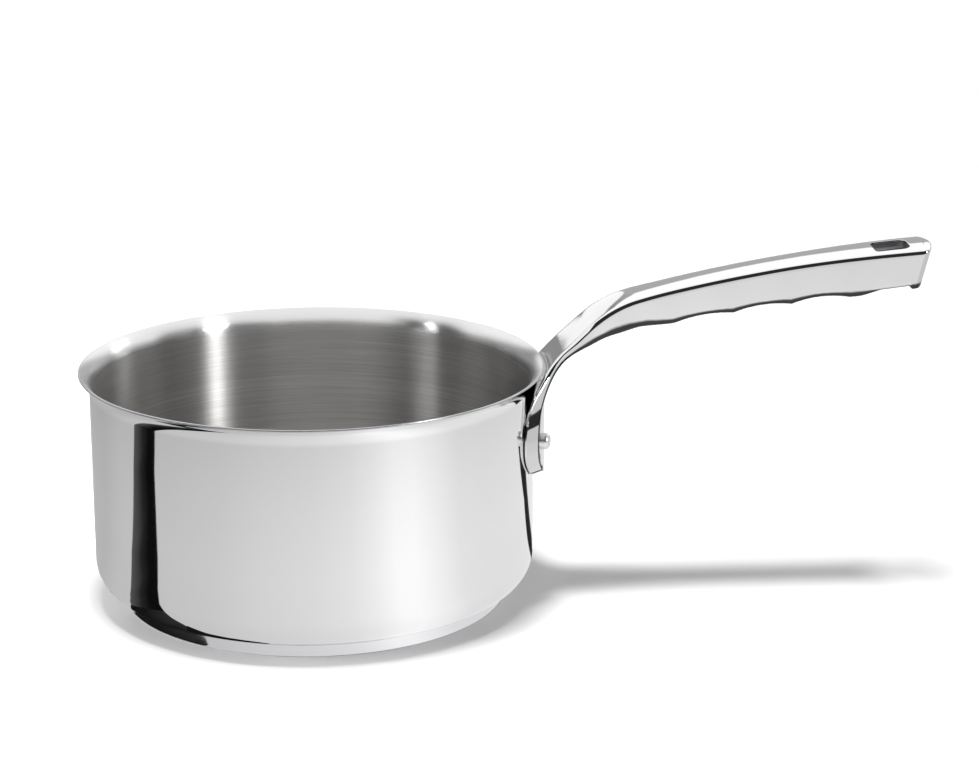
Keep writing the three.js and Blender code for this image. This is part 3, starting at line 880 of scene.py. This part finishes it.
# What polished steel sees of the floor: a pale sweep, brightest at the right front. The turn
# is that of the light which the wall sends to the same place.
sweep_paint, tree, light = glow("floor_sheen", 1.0)
split = add(tree, "ShaderNodeSeparateXYZ")
tree.links.new(add(tree, "ShaderNodeTexCoord").outputs["Object"], split.inputs[0])
x, y, _ = split.outputs
centre_turn = math_node(tree, "ARCTAN2", x, math_node(tree, "MULTIPLY", y, -1.0))
away = math_node(tree, "MAXIMUM", math_node(tree, "SQRT", math_node(
    tree, "ADD", math_node(tree, "MULTIPLY", x, x), math_node(tree, "MULTIPLY", y, y))), 0.07)
bow = math_node(tree, "SINE", math_node(tree, "MULTIPLY", centre_turn, 0.6))
turn = math_node(tree, "ADD", centre_turn, math_node(
    tree, "DIVIDE", math_node(tree, "MULTIPLY", bow, VESSEL_RADIUS * MM), away))

TURN_RANGE = 468  # the ramp runs from -234 to 234 degrees, so that its ends are past the seam behind


def az(degrees):
    return degrees / TURN_RANGE + 0.5


place = math_node(tree, "ADD", math_node(tree, "DIVIDE", turn, math.radians(TURN_RANGE)), 0.5)
round_it = ramp(tree, place, [
    (0.0, 0.7), (az(-192), 0.7), (az(-165), 0.5), (az(-135), 0.52), (az(-115), 0.61), (az(-80), 0.64),
    (az(-50), 0.69), (az(-25), 0.77), (az(0), 0.83), (az(18), 0.9), (az(30), 1.0), (az(42), 1.14),
    (az(52), 1.16), (az(66), 1.04), (az(80), 0.91), (az(100), 0.88), (az(165), 0.88), (az(192), 0.7),
    (1.0, 0.7)])
# Painted shade: the sheen is darker close to the foot, where the pan shades the floor, and dims again
# farther out
near_foot = ramp(tree, math_node(tree, "MULTIPLY", away, 2.5), [
    (0.17, 0.93), (0.25, 1.0), (0.42, 1.02), (0.62, 0.97), (0.88, 0.86), (1.0, 0.83)])
shade = add(tree, "ShaderNodeMix", data_type="RGBA", blend_type="MULTIPLY")
shade.inputs[0].default_value = 1.0
tree.links.new(round_it, shade.inputs[6])
tree.links.new(near_foot, shade.inputs[7])
tree.links.new(shade.outputs[2], light.inputs["Color"])
stage_card("floor_sheen", level(ground, 0.0002), sweep_paint)


def flag(name, front, back, stops, height):
    """Strip on the floor between two lines of points; its paint runs from the front line to the back."""
    material, tree, light = glow(name, 1.0)
    split = add(tree, "ShaderNodeSeparateXYZ")
    tree.links.new(add(tree, "ShaderNodeTexCoord").outputs["UV"], split.inputs[0])
    tree.links.new(ramp(tree, split.outputs[1], stops), light.inputs["Color"])
    mesh = bpy.data.meshes.new(name)
    points = [(x * MM, y * MM, height) for x, y in front + back]
    size = len(front)
    mesh.from_pydata(points, [], [(i, i + 1, size + i + 1, size + i) for i in range(size - 1)])
    layer = mesh.uv_layers.new(name="across")
    for polygon in mesh.polygons:
        for corner, (u, v) in zip(polygon.loop_indices, ((0, 0), (1, 0), (1, 1), (0, 1))):
            layer.data[corner].uv = (u, v)
    stage(mesh, material)


flag("flag_left", [(-340, -78), (-260, -66), (-150, -63), (-114, -60.6), (-92, -61.5), (-72, -60.4)],
     [(-340, 8), (-260, 0), (-150, -19), (-110, -30), (-88, -34.5), (-72, -34)],
     [(0.0, 0.004), (0.35, 0.004), (0.62, 0.02), (1.0, 0.1)], 0.0004)
# Painted shade: a dark sheet on the floor by the foot, which the corner and base band mirror in place of
# the shade there
flag("painted_foot_shade", [(-74, -60.4), (-66, -60.4), (-62, -60.4), (-53, -61.6), (-45, -61.4), (-38, -59.8)],
     [(-74, -33.6), (-70, -30.5), (-67, -24), (-60, -24), (-50, -40), (-38, -54)],
     [(0.0, 0.03), (0.5, 0.008), (1.0, 0.008)], 0.0005)

# Painted shade: a dark sheet in the joint under the body, as high as the base band, which the steel
# mirrors in place of the shade in the joint
turns = [math.radians(a) for a in (37, 34, 30.4, 27, 21.6, 17.6, 15, 12.5)]
OUTER, INNER = (79.5, 78.0, 76.2, 75.6, 74.9, 74.3, 73.8, 73.0), 71.5
flag("painted_joint_shade", [(-r * math.sin(a), -r * math.cos(a)) for a, r in zip(turns, OUTER)],
     [(-INNER * math.sin(a), -INNER * math.cos(a)) for a in turns], [(0.0, 0.008), (1.0, 0.008)], 0.00465)

# Painted shadow: a dark sheet on the floor under and behind the handle, which the steel mirrors in place
# of the handle's shadow
flag("painted_handle_shadow", [(87, 23), (112, 41), (151, 75), (232, 116)],
     [(83, 26), (95, 50), (135, 86), (203, 142)], [(0.0, 0.02), (0.5, 0.02), (1.0, 0.06)], 0.0004)

world = bpy.data.worlds.new("studio")
bpy.context.scene.world = world
world.use_nodes = True
tree = world.node_tree
back = tree.nodes["Background"]
path = add(tree, "ShaderNodeLightPath")
split = add(tree, "ShaderNodeSeparateXYZ")
tree.links.new(add(tree, "ShaderNodeTexCoord").outputs["Generated"], split.inputs[0])
x, y, z = split.outputs

# Behind the pan: a grey wall with a white sheet above it and a white disc at its left, cut off
# along a slanted line. In front: a dark room.
DISC_LEFT, DISC_UP, DISC_OUTER, DISC_INNER = (math.radians(a) for a in (12.0, 7.0, 10.0, 9.6))
CUT_UP, CUT_FROM, CUT_TO, CUT_SLANT = *(math.radians(a) for a in (4.6, -14.9, -14.6)), 0.8
HEM_FROM, HEM_TO = math.radians(15.6), math.radians(16.2)
side = math_node(tree, "ARCTAN2", x, y)
height = math_node(tree, "ARCSINE", z)
disc_x = math_node(tree, "ADD", side, DISC_LEFT)
disc_z = math_node(tree, "SUBTRACT", height, DISC_UP)
off_disc = math_node(tree, "SQRT", math_node(
    tree, "ADD", math_node(tree, "MULTIPLY", disc_x, disc_x),
    math_node(tree, "MULTIPLY", disc_z, disc_z)))
cut = math_node(tree, "ADD", side, math_node(
    tree, "MULTIPLY", math_node(tree, "SUBTRACT", height, CUT_UP), CUT_SLANT))
disc = math_node(tree, "MULTIPLY", above(tree, off_disc, DISC_OUTER, DISC_INNER),
                 above(tree, cut, CUT_FROM, CUT_TO))
disc = math_node(tree, "MULTIPLY", disc, span(tree, above(tree, z, 0.067, 0.07), 0.0, 0.86))
hem = math_node(tree, "ADD", height, math_node(tree, "MULTIPLY", math_node(
    tree, "MINIMUM", math_node(tree, "MAXIMUM", side, -0.07), 0.14), above(tree, side, 0.15, -0.15)))
sheet = math_node(tree, "MAXIMUM", disc, above(tree, hem, HEM_FROM, HEM_TO))
behind = blend(tree, sheet, blend(tree, above(tree, side, -0.2, -0.05), 0.32, 0.5), 1.34)
front = blend(tree, above(tree, z, 0.985, 0.997), 0.03, 0.4)
room = blend(tree, above(tree, y, -0.05, 0.1), front, behind)
seen = blend(tree, path.outputs["Is Diffuse Ray"], room, 0.12)
tree.links.new(blend(tree, path.outputs["Is Camera Ray"], seen, 1.0), back.inputs["Color"])

CARD_DISTANCE, CARD_AIM = 1.5, 0.05


def softbox(name, azimuth, elevation, width, height, strength):
    """A card that faces the pan; azimuth 0 is in front, 90 at the right."""
    a, e = math.radians(azimuth), math.radians(elevation)
    out = Vector((math.sin(a) * math.cos(e), -math.cos(a) * math.cos(e), math.sin(e)))
    centre = out * CARD_DISTANCE + Vector((0, 0, CARD_AIM))
    right = Vector((math.cos(a), math.sin(a), 0))
    up = right.cross(out)
    material, _, _ = glow(name, strength)
    corners = [centre + right * (sx * width / 2) + up * (sy * height / 2)
               for sx, sy in ((-1, -1), (1, -1), (1, 1), (-1, 1))]
    stage_card(name, [tuple(c) for c in corners], material)


softbox("softbox_right", 57, 25, 0.12, 0.5, 44.0)
softbox("softbox_left", -71, 25, 0.05, 0.5, 15.0)
softbox("softbox_back", 131, 25, 0.05, 0.45, 13.0)
softbox("side_glow", 82, 31, 0.6, 0.8, 0.4)

# Low canopy of light over the vessel, left of the handle
sheet_paint, _, _ = glow("canopy", 1.22)
stage_card("canopy", level([(-0.12, -0.13), (0.06, -0.13), (0.06, 0.1), (-0.03, 0.1), (-0.03, 0.02),
                            (-0.12, -0.04)], 0.16), sheet_paint)


def lamp(name, width, height, energy, place, aim=None):
    """An area lamp that mirrors don't show; without an aim it faces straight down."""
    light = bpy.data.lights.new(name, "AREA")
    light.shape, light.size, light.size_y = "RECTANGLE", width, height
    light.energy = energy
    holder = bpy.data.objects.new(name, light)
    bpy.context.scene.collection.objects.link(holder)
    holder.location = place
    if aim:
        holder.rotation_euler = (Vector(aim) - holder.location).to_track_quat("-Z", "Y").to_euler()
    holder.visible_glossy = False


lamp("key", 0.5, 0.5, 84.0, (-0.07, -0.17, 3.0), (0.06, 0, 0))
lamp("fill", 1.2, 0.8, 42.0, (-1.77, -0.64, 0.7), (0, 0, 0))
lamp("top", 2.4, 2.4, 9.0, (0.0, 0.0, 1.6))

camera_data = bpy.data.cameras.new("camera")
camera_data.sensor_fit = "HORIZONTAL"
camera_data.sensor_width = 36.0
camera_data.lens = 99.28
camera = bpy.data.objects.new("camera", camera_data)
bpy.context.scene.collection.objects.link(camera)
camera.location = (0.0148, -0.9429, 0.3444)
camera.rotation_euler = (math.radians(74.15), 0.0, math.radians(-3.0))
bpy.context.scene.camera = camera

bpy.context.scene.view_settings.view_transform = "Standard"
